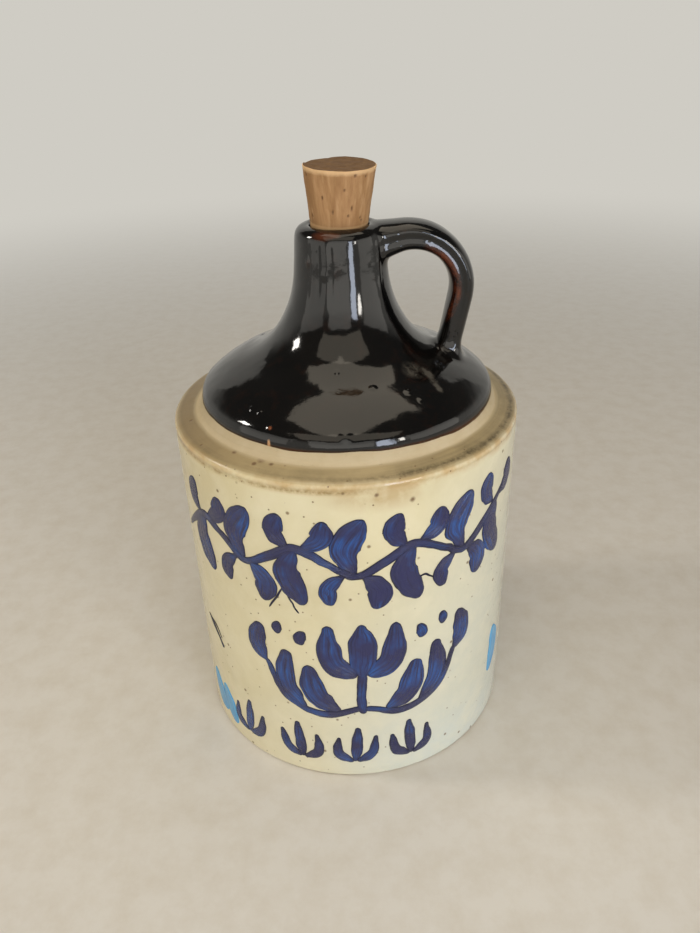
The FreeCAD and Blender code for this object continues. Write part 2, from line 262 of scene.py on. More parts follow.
def displace(piece, texture_size, strength, direction, middle=0.5):
    """Moves the surface in and out by soft procedural clouds; both lengths are in mm."""
    clouds = bpy.data.textures.new(piece.name + "_clouds", "CLOUDS")
    clouds.noise_scale = texture_size * MM
    push = piece.modifiers.new("unevenness", "DISPLACE")
    push.texture = clouds
    push.texture_coords = "LOCAL"
    push.direction = direction
    push.strength = strength * MM
    push.mid_level = middle
    bpy.ops.object.modifier_apply(modifier=push.name)


# the wall's radius and how far the parts above the ledge sit off its centre, both in mm,
# and the height in metres above which they do
WALL = 88.42
OFF_CENTRE = 0.75
LEDGE_TOP = 0.1885
profile = [(3, 0.7), (40, 0.7), (79.5, 0.6), (82.2, 0.05), (84, 0), (86.3, 0)]
profile += arc((86.3, 0), 0, WALL - 86.3, 90, 7)
profile += slope((WALL, WALL - 86.3), (WALL, 178), 36)
profile += [(WALL - 0.03, 179.4), (WALL - 0.12, 180.4), (WALL - 0.30, 181.4), (WALL - 0.40, 182.3)]
profile += [(WALL - 0.32, 183.0), (WALL - 0.12, 183.6), (WALL - 0.05, 184.0)]
profile += arc((WALL - 0.05, 184.0), 92, 2.6, 74, 8)
profile += slope(profile[-1], (77.6, 188.55), 8)
profile += arc((77.6, 188.55), 166, 2.9, -72, 7)
profile += [(73.9, 192.4), (73.8, 194.2), (73.2, 195.4), (71.5, 195.9), (50, 196), (3, 196)]
body = start_ring("stoneware_body", 320, *profile[0])
pull_up(profile)
close_shape(body)
displace(body, 70, 0.3, "X")
displace(body, 70, 0.3, "Y")
displace(body, 22, 0.12, "NORMAL")
for vertex in body.data.vertices:
    vertex.co.z = max(vertex.co.z, 0)
    if vertex.co.z > LEDGE_TOP:
        vertex.co.x += OFF_CENTRE * MM * min(1, (vertex.co.z - LEDGE_TOP) / 0.0015)


def distance_from(tree, place, centre, squash):
    """The distance from a centre, counted more or less along each axis."""
    away = add(tree, "ShaderNodeVectorMath", {0: place, 1: centre}, operation="SUBTRACT")
    away = add(tree, "ShaderNodeVectorMath", {0: away, 1: squash}, operation="MULTIPLY")
    return add(tree, "ShaderNodeVectorMath", {0: away}, operation="LENGTH").outputs["Value"]


# bristol glaze over stoneware: creamy, glossy and speckled with iron, greyer and cooler low on the
# right as painted cool light, darker high on the left as painted shade, tan under the shoulder and grimy
# along ledge and groove
cream, tree, shader = new_material("cream_bristol_glaze")
place = add(tree, "ShaderNodeTexCoord", {}).outputs["Object"]
xyz = add(tree, "ShaderNodeSeparateXYZ", {"Vector": place})
x, y, z = xyz.outputs["X"], xyz.outputs["Y"], xyz.outputs["Z"]
flat_place = add(tree, "ShaderNodeVectorMath", {0: place, 1: (1, 1, 0)}, operation="MULTIPLY")
radius = add(tree, "ShaderNodeVectorMath", {0: flat_place}, operation="LENGTH").outputs["Value"]
broad = add(tree, "ShaderNodeTexNoise", {"Vector": place, "Scale": 16, "Detail": 4})
patches = add(tree, "ShaderNodeTexNoise", {"Vector": place, "Scale": 70, "Detail": 5, "Roughness": 0.6})
grit = add(tree, "ShaderNodeTexNoise", {"Vector": place, "Scale": 420, "Detail": 4, "Roughness": 0.7})
low_right = add(tree, "ShaderNodeMath", {0: z, 1: -0.7, 2: x}, operation="MULTIPLY_ADD")
low_right = add(tree, "ShaderNodeMath", {0: broad, 1: 0.06, 2: low_right}, operation="MULTIPLY_ADD")
low_left = add(tree, "ShaderNodeMath", {0: x, 1: 0.25, 2: z}, operation="MULTIPLY_ADD")
high_left = add(tree, "ShaderNodeMath", {0: x, 1: -0.8, 2: z}, operation="MULTIPLY_ADD")
near_foot = add(tree, "ShaderNodeMapRange", {
    "Value": z, "From Min": 0.045, "From Max": 0.012, "To Max": 0.65,
})
shoulder = add(tree, "ShaderNodeMapRange", {
    "Value": z, "From Min": 0.1795, "From Max": 0.1835, "To Max": 0.8,
})
in_front = distance_from(tree, place, (0.014, -0.086, 0.180), (1, 1, 3.4))
in_front = add(tree, "ShaderNodeMapRange", {
    "Value": in_front, "From Min": 0.034, "From Max": 0.008, "To Max": 0.75,
})
# the finger groove, on the front and left
groove = add(tree, "ShaderNodeMath", {0: z, 1: 0.1821}, operation="SUBTRACT")
groove = add(tree, "ShaderNodeMath", {0: groove}, operation="ABSOLUTE")
groove = add(tree, "ShaderNodeMapRange", {
    "Value": groove, "From Min": 0.0017, "From Max": 0.0002, "To Max": 0.75,
})
groove = add(tree, "ShaderNodeMapRange", {
    "Value": x, "From Min": 0.016, "From Max": -0.008, "To Max": groove,
})
groove = add(tree, "ShaderNodeMapRange", {
    "Value": patches, "From Min": 0.32, "From Max": 0.52, "To Max": groove,
})
base = lay_tints(tree, linear("#E1D7B2"), [
    (broad, 0.35, 0.68, 1, "#D6CBA5"),
    (low_right, -0.06, 0.03, 0.9, "#D0D1C1"),  # greyer towards the lower right: painted cool light from the right
    (low_left, 0.05, -0.02, 0.45, "#E2D4AA"),  # warmer low on the left: painted warm bounce light
    (x, -0.02, 0.035, near_foot, "#CDD6D2"),  # cooler near the foot, in front and on the right: painted cool light
    (high_left, 0.195, 0.245, 0.55, "#C9B682"),  # darker and warmer high on the left: painted shade on the side away from the light
    (patches, 0.42, 0.8, 0.5, "#E9E1C4"),  # milky patches, about 12 mm
    (patches, 0.38, 0.6, shoulder, "#C09E68"),  # tan wash between the ledge and the groove
    (patches, 0.35, 0.62, in_front, "#BBA071"),  # and a smear below it in front
    (grit, 0.30, 0.62, groove, "#8F7641"),  # grime caught in the finger groove
])
# the ledge: thin tan glaze, dirtier towards the right, and darker at the left end as painted shade
on_top = add(tree, "ShaderNodeMapRange", {"Value": z, "From Min": 0.1852, "From Max": 0.1868})
rings = add(tree, "ShaderNodeCombineXYZ", {"X": radius, "Y": x, "Z": y})
rings = add(tree, "ShaderNodeMapping", {"Vector": rings, "Scale": (900, 25, 25)})
rings = add(tree, "ShaderNodeTexNoise", {"Vector": rings, "Scale": 1, "Detail": 3})
ledge_dirt = add(tree, "ShaderNodeMath", {0: x, 1: 2.2, 2: patches}, operation="MULTIPLY_ADD")
ledge_dirt = add(tree, "ShaderNodeMath", {0: rings, 1: 0.5, 2: ledge_dirt}, operation="MULTIPLY_ADD")
ledge = lay_tints(tree, linear("#AD9A72"), [
    (ledge_dirt, 0.6, 1.0, 1, "#93835F"),
    # painted shade at the ledge's left end
    (x, -0.04, -0.08, 0.65, "#705B39"),
])
base = add(tree, "ShaderNodeMix", {"Factor": on_top, "A": base, "B": ledge}, data_type="RGBA")
# dark grime along the ledge's outer edge, heaviest on the right
rim = add(tree, "ShaderNodeMath", {0: radius, 1: 0.0851}, operation="SUBTRACT")
rim = add(tree, "ShaderNodeMath", {0: rim}, operation="ABSOLUTE")
rim = add(tree, "ShaderNodeMath", {0: patches, 1: -0.0030, 2: rim}, operation="MULTIPLY_ADD")
rim = add(tree, "ShaderNodeMapRange", {
    "Value": rim, "From Min": 0.0007, "From Max": -0.0013, "To Max": on_top,
})
right = add(tree, "ShaderNodeMapRange", {"Value": x, "From Min": -0.03, "From Max": 0.045, "To Min": 0.15})
rim = add(tree, "ShaderNodeMath", {0: rim, 1: right}, operation="MULTIPLY")
base = lay_tints(tree, base, [(grit, 0.28, 0.66, rim, "#4E4228")])
# iron specks of about 0.3 mm, 0.6 mm and 1.2 mm; the finest are drawn a little coarser than real
pits = 0.0
for cells, size, share in ((260, 0.10, 0.72), (120, 0.09, 0.70), (45, 0.045, 0.62)):
    cell = add(tree, "ShaderNodeTexVoronoi", {"Vector": place, "Scale": cells})
    chosen = add(tree, "ShaderNodeSeparateColor", {"Color": cell.outputs["Color"]})
    chosen = add(tree, "ShaderNodeMath", {0: chosen, 1: share}, operation="GREATER_THAN")
    speck = {
        "Value": cell.outputs["Distance"], "From Min": size * 1.5, "From Max": size * 0.7, "To Max": chosen,
    }
    speck = add(tree, "ShaderNodeMapRange", speck)
    pits = add(tree, "ShaderNodeMath", {0: speck, 1: pits}, operation="MAXIMUM")
speck_strength = add(tree, "ShaderNodeMath", {0: pits, 1: 0.8}, operation="MULTIPLY")
base = add(tree, "ShaderNodeMix", {
    "Factor": speck_strength, "A": base, "B": linear("#6E5230"),
}, data_type="RGBA")
# single iron spots: on the ledge at the left, and on the wall under the shoulder
for spot, width in (
    ((-0.0382, -0.0680, 0.1884), 0.0019), ((-0.0416, -0.0698, 0.1877), 0.0009),
    ((-0.0338, -0.0716, 0.1881), 0.0008), ((-0.0513, -0.0596, 0.1882), 0.0010),
    ((0.0282, -0.0842, 0.1751), 0.0011), ((0.0123, -0.0880, 0.1802), 0.0008),
):
    gap = add(tree, "ShaderNodeVectorMath", {0: place, 1: spot}, operation="DISTANCE").outputs["Value"]
    gap = add(tree, "ShaderNodeMath", {0: grit, 1: -0.0012, 2: gap}, operation="MULTIPLY_ADD")
    base = lay_tints(tree, base, [(gap, width, width * 0.3 - 0.0003, 0.85, "#6A4C33")])
# bare clay: matt and pinkish buff, on the riser and under the foot
clay = lay_tints(tree, linear("#C7B797"), [(patches, 0.3, 0.7, 1, "#BBA985")])
riser = add(tree, "ShaderNodeMath", {0: patches, 1: 0.0008, 2: z}, operation="MULTIPLY_ADD")
riser = add(tree, "ShaderNodeMapRange", {"Value": riser, "From Min": 0.1886, "From Max": 0.1892})
under = add(tree, "ShaderNodeMath", {0: patches, 1: 0.0014, 2: z}, operation="MULTIPLY_ADD")
under = add(tree, "ShaderNodeMapRange", {"Value": under, "From Min": 0.0018, "From Max": 0.0011})
bare = add(tree, "ShaderNodeMath", {0: riser, 1: under}, operation="MAXIMUM")
base = add(tree, "ShaderNodeMix", {"Factor": bare, "A": base, "B": clay}, data_type="RGBA")
dull = add(tree, "ShaderNodeMath", {0: on_top, 1: 0.4}, operation="MULTIPLY")
dull = add(tree, "ShaderNodeMath", {0: dull, 1: bare}, operation="MAXIMUM")
glazed = {"Value": patches, "From Min": 0.3, "From Max": 0.7, "To Min": 0.09, "To Max": 0.20}
glazed = add(tree, "ShaderNodeMapRange", glazed)
roughness = add(tree, "ShaderNodeMix", {"Factor": dull, "A": glazed, "B": 0.85}, data_type="FLOAT")
relief = add(tree, "ShaderNodeBump", {"Height": patches, "Strength": 0.4, "Distance": 0.001})
relief = add(tree, "ShaderNodeBump", {"Height": grit, "Strength": 0.16, "Distance": 0.0004, "Normal": relief})
relief = {"Height": pits, "Strength": 0.6, "Distance": 0.0003, "Normal": relief}
relief = add(tree, "ShaderNodeBump", relief, invert=True)
connect(tree, shader, {"Base Color": base, "Roughness": roughness, "IOR": 1.5, "Normal": relief})
body.data.materials.append(cream)
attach(body, "root")
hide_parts("stoneware_jug")


# ------------------------------------ Dark glazed dome, neck, lip and handle
# The upper part of the jug: a thrown dome that sweeps up into neck and lip,
# with a pulled strap handle pressed on while wet. It is the same clay under a
# thick near-black slip glaze, which ends in an uneven edge on the riser.
# the height where the glaze ends, and the radius and height where the lip turns into the mouth, in mm
GLAZE_END = 193.0
LIP = (15.0, 276.2)
profile = slope((74.8, 184), (74.8, 194.5), 5)
profile += arc(profile[-1], 90, 8, 50, 8)
profile += arc(profile[-1], 140, 68.4, 20, 10)
profile += arc(profile[-1], 160, 39.5, -38, 14)
profile += arc(profile[-1], 122, 58.5, -27.5, 12)
profile += slope(profile[-1], (21.55, 270.9), 6)
profile += arc(profile[-1], 94.5, 5.35, 85.5, 10)
profile += [LIP]
dome = start_ring("dark_glazed_top", 200, *profile[0])
pull_up(profile)
# the mouth follows the cork, which leans to the handle and the front
LEAN = (math.tan(math.radians(2.0)), -math.tan(math.radians(2.5)))
pull_up([LIP, (14.3, 275.9), (13.95, 275.2), (13.7, 274), (12.3, 263.2), (1, 263)], LEAN)
close_shape(dome)


def strap_size(share):
    """Width and thickness in mm: share is 0 at the neck, 1 under the bend and 2 at the foot."""
    sizes = [
        (0, 26, 19), (0.14, 24.6, 16.6), (0.3, 23, 14.2), (0.62, 21, 12), (1, 20, 11.8),
        (1.6, 18.2, 11.5), (1.7, 19.3, 12.6), (1.78, 22, 15.4), (2, 23, 17),
    ]
    for (s0, w0, t0), (s1, w1, t1) in zip(sizes, sizes[1:]):
        if share <= s1:
            part = (share - s0) / (s1 - s0)
            return w0 + (w1 - w0) * part, t0 + (t1 - t0) * part


# the strap runs out from the neck, bends and drops to the dome, leaning in: mm and degrees
RUN, BEND, TURN, DROP, LEAN_IN = 12.5, 25.3, -113.5, 36, 11
RUN_STEPS, BEND_STEPS, DROP_STEPS = 4, 26, 18
# its stations: the centre's x and z in mm, the heading in degrees and the share
neck_end = (15.8, 266.6)
stations = [(*neck_end, RUN, 0)]
for k, (px, pz) in enumerate(slope(neck_end, (27.52, 269.2), RUN_STEPS), start=1):
    stations += [(px, pz, RUN, 0.07 * k)]
for k, (px, pz) in enumerate(arc(stations[-1][:2], RUN, BEND, TURN, BEND_STEPS), start=1):
    stations += [(px, pz, RUN + TURN * k / BEND_STEPS, 0.28 + 0.72 * k / BEND_STEPS)]
px, pz = stations[-1][:2]
foot = (px - DROP * math.sin(math.radians(LEAN_IN)), pz - DROP * math.cos(math.radians(LEAN_IN)))
for k, (px, pz) in enumerate(slope((px, pz), foot, DROP_STEPS), start=1):
    stations += [(px, pz, RUN + TURN, 1 + k / DROP_STEPS)]
bpy.ops.object.select_all(action="DESELECT")
bpy.ops.mesh.primitive_circle_add(vertices=72, radius=1)
handle = new_piece("strap_handle")
FULLNESS = 2.5
for vertex in handle.data.vertices:
    # a full oval with a shallow channel along each narrow side, as a strap pulled between fingers
    full = 1 / (abs(vertex.co.x) ** FULLNESS + abs(vertex.co.y) ** FULLNESS) ** (1 / FULLNESS)
    channel = 1 - 0.15 * math.exp(-((vertex.co.x * full / 0.3) ** 2))
    vertex.co.x *= full
    vertex.co.y *= full * channel
bpy.ops.object.mode_set(mode="EDIT")
bpy.ops.mesh.select_mode(type="EDGE")
bpy.ops.mesh.select_all(action="SELECT")
last_centre, last_turn, last_size = Vector((0, 0, 0)), 0.0, (2.0, 2.0)
for number, (px, pz, heading, share) in enumerate(stations):
    centre = Vector((px, 0, pz)) * MM
    if number:
        bpy.ops.mesh.extrude_region_move(TRANSFORM_OT_translate={"value": centre - last_centre})
    else:
        bpy.ops.transform.resize(value=(MM, MM, MM), center_override=(0, 0, 0))
        bpy.ops.transform.translate(value=centre)
    turn, size = math.radians(90 - heading), strap_size(share)
    # levelled, resized and tilted again; the rotation's sign is that of a script without a window
    bpy.ops.transform.rotate(value=last_turn, orient_axis="Y", center_override=centre)
    bpy.ops.transform.resize(
        value=(size[1] / last_size[1], size[0] / last_size[0], 1), center_override=centre
    )
    bpy.ops.transform.rotate(value=-turn, orient_axis="Y", center_override=centre)
    last_centre, last_turn, last_size = centre, turn, size
close_shape(handle)

bpy.ops.object.select_all(action="DESELECT")
handle.select_set(True)
dome.select_set(True)
bpy.context.view_layer.objects.active = dome
bpy.ops.object.join()
one_lump = dome.modifiers.new("one_lump", "REMESH")
one_lump.mode = "VOXEL"
one_lump.voxel_size = 0.00072
one_lump.use_smooth_shade = True
bpy.ops.object.modifier_apply(modifier=one_lump.name)
molten = dome.modifiers.new("molten_smooth", "SMOOTH")
molten.factor = 0.5
molten.iterations = 20
bpy.ops.object.modifier_apply(modifier=molten.name)

bpy.ops.object.mode_set(mode="EDIT")
bpy.ops.mesh.select_all(action="SELECT")
bpy.ops.mesh.bisect(plane_co=(0, 0, GLAZE_END * MM), plane_no=(0, 0, 1), use_fill=True, clear_inner=True)
bpy.ops.object.mode_set(mode="OBJECT")


def melt_together(piece, name, joint, reach, iterations):
    """Softens the joint, a ring of places in mm, most at the ring and less out to its reach."""
    group = piece.vertex_groups.new(name=name)
    for vertex in piece.data.vertices:
        p = vertex.co / MM
        if abs(p.x - joint[0][0]) < 40 and abs(p.z - joint[0][2]) < 30:
            near = min((p - Vector(place)).length for place in joint)
            if near < reach:
                group.add([vertex.index], (1 - (near / reach) ** 2) ** 2, "REPLACE")
    soft = piece.modifiers.new(name, "SMOOTH")
    soft.factor = 0.6
    soft.iterations = iterations
    soft.vertex_group = name
    bpy.ops.object.modifier_apply(modifier=soft.name)


turns = [k * math.pi / 12 for k in range(24)]
around_foot = [(51.5 + 8 * math.cos(a), 10.5 * math.sin(a), 212.8 - 3.2 * math.cos(a)) for a in turns]
melt_together(dome, "strap_foot", around_foot, 9, 90)
around_root = [(12.8 * math.cos(a), 267.4 + 9.5 * math.sin(a)) for a in turns]
around_root = [(math.sqrt(22.3 ** 2 - py ** 2), py, pz) for py, pz in around_root if pz < 273]
melt_together(dome, "strap_root", around_root, 6.5, 60)

# slow waves of thick glaze, then drips and pimples that froze in it
displace(dome, 26, 0.5, "NORMAL")
displace(dome, 9, 0.10, "NORMAL")
# each pimple's angle in degrees and radius, height, reach and rise in mm
pimples = [
    (-0.8, 71.5, 201.0, 2.6, 0.7), (-4.7, 41.1, 218.1, 1.6, 0.45), (14.7, 50.2, 213.0, 1.7, 0.5),
    (30.5, 56.4, 210.4, 1.7, 0.5), (33.6, 61.9, 207.6, 1.5, 0.45), (-41.4, 66.0, 205.0, 1.5, 0.4),
    (-36.9, 66.1, 205.0, 1.5, 0.4), (-43, 22, 262, 1.3, 0.35), (-20, 22.5, 257, 1.4, 0.3),
    (36, 23.5, 262, 1.4, 0.35), (-29.7, 71.1, 201.3, 1.4, 0.3), (150, 60, 208, 1.6, 0.4),
    (-120, 50, 213, 1.5, 0.4),
]
pimples = [(r * math.sin(math.radians(a)), -r * math.cos(math.radians(a)), *rest) for a, r, *rest in pimples]
# each run's angle and width in degrees, and its rise in mm
runs = [(-36, 2.6, 0.28), (-27, 2.2, 0.22), (-17, 3.0, 0.30), (-7, 2.4, 0.2), (52, 3, 0.25), (141, 4, 0.3)]
runs += [(-118, 4, 0.3)]
SHRUNK = 0.009
normals = [vertex.normal.copy() for vertex in dome.data.vertices]
for vertex, normal in zip(dome.data.vertices, normals):
    p = vertex.co / MM
    for px, py, pz, reach, up in pimples:
        away = math.hypot(math.hypot(p.x - px, p.y - py), (p.z - pz) * 0.5)
        if away < reach * 1.3:
            vertex.co += normal * up * 0.85 * MM * (1 - (away / reach / 1.3) ** 2) ** 2
    # runs of glaze down the left front of the neck
    if 240 < p.z < 272 and math.hypot(p.x, p.y) < 26:
        a = math.degrees(math.atan2(p.x, -p.y))
        fade = min(1, (272 - p.z) / 3) * min(1, (p.z - 240) / 14)
        for middle, wide, up in runs:
            off = (a - middle - 0.5 * math.sin(p.z / 5)) / wide
            vertex.co += normal * MM * up * fade * math.exp(-(off**2))
    # the glaze's lower edge runs in shallow waves, dips on the right and rolls in against the clay
    if p.z < 198.5 and math.hypot(p.x, p.y) > 68:
        a = math.atan2(p.x, -p.y)
        edge = 0.4 + 0.25 * math.sin(5 * a + 0.6) + 0.2 * math.sin(11 * a + 2.0) + 0.12 * math.sin(23 * a)
        edge -= 1.3 * math.exp(-((a - 0.95) / 0.5) ** 2)
        vertex.co.z += edge * MM * max(0.0, (198.5 - p.z) / 5.5)
        roll = 1 - 0.0075 * max(0.0, 1 - (p.z - GLAZE_END) / 0.9) ** 2
        vertex.co.x *= roll
        vertex.co.y *= roll
    # the dome is a little smaller than its profile and sits off the wall's centre
    if p.z < 215:
        part = min(1, (215 - p.z) / 17)
        vertex.co.x += OFF_CENTRE * MM * part
        vertex.co.x *= 1 - SHRUNK * part
        vertex.co.y *= 1 - SHRUNK * part

# dark slip glaze: near black, wet gloss, breaking to rust where it thinned on edges
dark, tree, shader = new_material("dark_slip_glaze")
place = add(tree, "ShaderNodeTexCoord", {}).outputs["Object"]
xyz = add(tree, "ShaderNodeSeparateXYZ", {"Vector": place})
x, y, z = xyz.outputs["X"], xyz.outputs["Y"], xyz.outputs["Z"]
broad = add(tree, "ShaderNodeTexNoise", {"Vector": place, "Scale": 30, "Detail": 4})
patches = add(tree, "ShaderNodeTexNoise", {"Vector": place, "Scale": 170, "Detail": 4, "Roughness": 0.6})
sharp = add(tree, "ShaderNodeNewGeometry", {}).outputs["Pointiness"]
sharp = add(tree, "ShaderNodeMath", {0: patches, 1: 0.05, 2: sharp}, operation="MULTIPLY_ADD")
above = add(tree, "ShaderNodeMapRange", {"Value": z, "From Min": 0.225, "From Max": 0.240, "To Max": 0.75})
# a ridge along the strap's front, inside the bend
ridge = distance_from(tree, place, (0.033, 0, 0.2445), (1, 0, 1))
ridge = add(tree, "ShaderNodeMath", {0: ridge, 1: 0.0222}, operation="SUBTRACT")
ridge = add(tree, "ShaderNodeMath", {0: ridge}, operation="ABSOLUTE")
thinned = add(tree, "ShaderNodeMapRange", {"Value": x, "From Min": 0.038, "From Max": 0.048, "To Max": 0.85})
thinned = add(tree, "ShaderNodeMapRange", {
    "Value": y, "From Min": -0.004, "From Max": -0.007, "To Max": thinned,
})
thinned = add(tree, "ShaderNodeMapRange", {
    "Value": ridge, "From Min": 0.0024, "From Max": 0.0006, "To Max": thinned,
})
low = add(tree, "ShaderNodeMath", {0: patches, 1: 0.0012, 2: z}, operation="MULTIPLY_ADD")
base = lay_tints(tree, linear("#080808"), [
    (broad, 0.35, 0.7, 1, "#110F0D"),
    (patches, 0.55, 0.8, 0.5, "#26150D"),
    (sharp, 0.545, 0.60, above, "#5A2C17"),  # rust on sharp edges
    (patches, 0.3, 0.55, thinned, "#63301A"),  # and along the strap's ridge
    (low, 0.1958, 0.1940, 0.8, "#4A2613"),  # a brown fringe at the glaze's lower edge
])
# bare flaws: a short upright scar in the lower edge and rust spots above it and on the lip
for spot, squash, width, hue in (
    ((-0.0348, -0.0652, 0.1950), (1, 1, 0.28), 0.0011, "#C79A6E"),
    ((-0.0340, -0.0618, 0.2013), (1, 1, 1), 0.0013, "#7A4428"),
    ((-0.0085, -0.0196, 0.2742), (0.5, 0.5, 1.3), 0.0033, "#4F2A19"),
    ((-0.0030, -0.0206, 0.2745), (0.5, 0.5, 1.6), 0.0022, "#4E2A1A"),
):
    flaw = distance_from(tree, place, spot, squash)
    flaw = add(tree, "ShaderNodeMath", {0: patches, 1: -0.0014, 2: flaw}, operation="MULTIPLY_ADD")
    base = lay_tints(tree, base, [(flaw, width - 0.0007, width * 0.4 - 0.0007, 0.9, hue)])
# a dull greyish patch, rougher than the glaze, on the dome in front of the strap's foot, and a blotch beside
# it
start, along = (0.0377, -0.0306, 0.2136), (0.0058, -0.0118, -0.0054)
share = add(tree, "ShaderNodeVectorMath", {0: place, 1: start}, operation="SUBTRACT")
share = add(tree, "ShaderNodeVectorMath", {0: share, 1: along}, operation="DOT_PRODUCT").outputs["Value"]
per_length = 1 / sum(step * step for step in along)
share = add(tree, "ShaderNodeMath", {0: share, 1: per_length}, operation="MULTIPLY", use_clamp=True)
nearest = add(tree, "ShaderNodeVectorMath", {0: along, 1: share, 2: start}, operation="MULTIPLY_ADD")
away = add(tree, "ShaderNodeVectorMath", {0: place, 1: nearest}, operation="DISTANCE").outputs["Value"]
away = add(tree, "ShaderNodeMath", {0: patches, 1: 0.0075, 2: away}, operation="MULTIPLY_ADD")
dull_patch = add(tree, "ShaderNodeMapRange", {
    "Value": away, "From Min": 0.0064, "From Max": 0.0044, "To Max": 0.75,
})
blotch = (0.0322, -0.0338, 0.2148)
away = add(tree, "ShaderNodeVectorMath", {0: place, 1: blotch}, operation="DISTANCE").outputs["Value"]
blotch = add(tree, "ShaderNodeMapRange", {
    "Value": away, "From Min": 0.0065, "From Max": 0.0025, "To Max": 0.6,
})
blotch = add(tree, "ShaderNodeMapRange", {
    "Value": patches, "From Min": 0.44, "From Max": 0.58, "To Max": blotch,
})
dull_patch = add(tree, "ShaderNodeMath", {0: dull_patch, 1: blotch}, operation="MAXIMUM")
base = add(tree, "ShaderNodeMix", {"Factor": dull_patch, "A": base, "B": linear("#4E4A42")}, data_type="RGBA")
dull = add(tree, "ShaderNodeMapRange", {"Value": dull_patch, "To Min": 0.08, "To Max": 0.5})
relief = add(tree, "ShaderNodeBump", {"Height": patches, "Strength": 0.10, "Distance": 0.0006})
connect(tree, shader, {"Base Color": base, "Roughness": dull, "IOR": 1.52, "Normal": relief})
dome.data.materials.clear()
dome.data.materials.append(dark)
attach(dome, "root")


# ------------------------------------------------- Brushed blue ornament
# A running spray of leaves, a tulip among leaves and four small sprigs, put on
# freehand over the fired glaze in thick blue enamel with a flat brush. The
# enamel stands proud with rounded edges and keeps the brush's streaks.
def start_marks(name):
    """A curve with no splines yet; each will be a bar, 1 mm thick for each mm of point radius."""
    bpy.ops.object.select_all(action="DESELECT")
    bpy.ops.curve.primitive_nurbs_path_add(location=(0, 0, 0))
    marks = bpy.context.object
    marks.name = name
    marks.data.name = name
    marks.data.splines.clear()
    marks.data.bevel_depth = MM
    marks.data.bevel_resolution = 6
    marks.data.use_fill_caps = True
    return marks


def brush(marks, places, half_widths):
    """One pull of the brush through places, (mm round the wall, height in mm), with its half widths."""
    ends = [tuple(2 * a - b for a, b in zip(tip, inner)) for tip, inner in (places[:2], places[:-3:-1])]
    knots = [ends[0], *places, ends[1]]
    points = []
    spans = len(places) - 1
    steps = 24 if spans < 4 else spans * 9
    for step in range(steps + 1):
        along = step / steps
        if spans < 4:
            along -= 0.12 * math.sin(2 * math.pi * along)
        t = min(along * spans, spans - 1e-6)
        k, t = int(t), t - int(t)
        p0, p1, p2, p3 = knots[k : k + 4]
        place = [
            0.5 * (2 * b + (c - a) * t + (2 * a - 5 * b + 4 * c - d) * t * t + (3 * b - a - 3 * c + d) * t**3)
            for a, b, c, d in zip(p0, p1, p2, p3)
        ]
        w = min(along * (len(half_widths) - 1), len(half_widths) - 1 - 1e-6)
        j, w = int(w), w - int(w)
        w = w * w * (3 - 2 * w)
        points.append([*place, half_widths[j] * (1 - w) + half_widths[j + 1] * w])
    first, last = points[0][:2], points[-1][:2]
    for point in points:
        for tip in (first, last):
            away = math.hypot(point[0] - tip[0], point[1] - tip[1])
            if away < point[2]:
                point[2] *= max(0.15, math.sqrt(1 - (1 - away / point[2]) ** 2))
    spline = marks.data.splines.new("NURBS")
    spline.points.add(len(points) - 1)
    lift = 0.011 * (len(marks.data.splines) % 7) * MM
    for knot, (u, h, half_width) in zip(spline.points, points):
        knot.co = (u * MM, -lift, h * MM, 1)
        knot.radius = half_width
    spline.order_u = 3
    spline.use_endpoint_u = True
    spline.resolution_u = 2


def lay_on_wall(marks, ragged):
    """Turns the bars into paint: uneven in outline, pressed to a thin crown and wrapped round the wall."""
    bpy.ops.object.select_all(action="DESELECT")
    marks.select_set(True)
    bpy.context.view_layer.objects.active = marks
    bpy.ops.object.convert(target="MESH")
    displace(marks, 7, ragged, "X")
    displace(marks, 7, ragged, "Z")
    # the points round each bar, the radius in mm that strokes are measured round and paint's outer limit
    around, clay_wall, highest = 16, 89, 88.93
    crown = marks.data.attributes.new("crown", "FLOAT", "POINT")
    for vertex in marks.data.vertices:
        u, depth, h = vertex.co / MM
        bar = -depth * 0.25
        proud = 0.46 * (1 - math.exp(-bar / 0.40)) if bar > 0 else max(bar, -0.3)
        # the hairs of the brush leave ridges along the mark
        ridge = noise.noise(Vector((u / 26, h / 26, 3.1 * (vertex.index % around))))
        proud *= 1 + 0.42 * ridge
        crown.data[vertex.index].value = max(0.0, min(1.0, bar / 0.7))
        r = min(WALL + 0.08 + proud, highest)
        vertex.co = Vector((r * math.sin(u / clay_wall), -r * math.cos(u / clay_wall), h)) * MM
    bpy.ops.object.mode_set(mode="EDIT")
    bpy.ops.mesh.select_all(action="SELECT")
    bpy.ops.mesh.remove_doubles(threshold=1e-7)
    bpy.ops.mesh.normals_make_consistent(inside=False)
    bpy.ops.object.mode_set(mode="OBJECT")
    bpy.ops.object.shade_smooth()


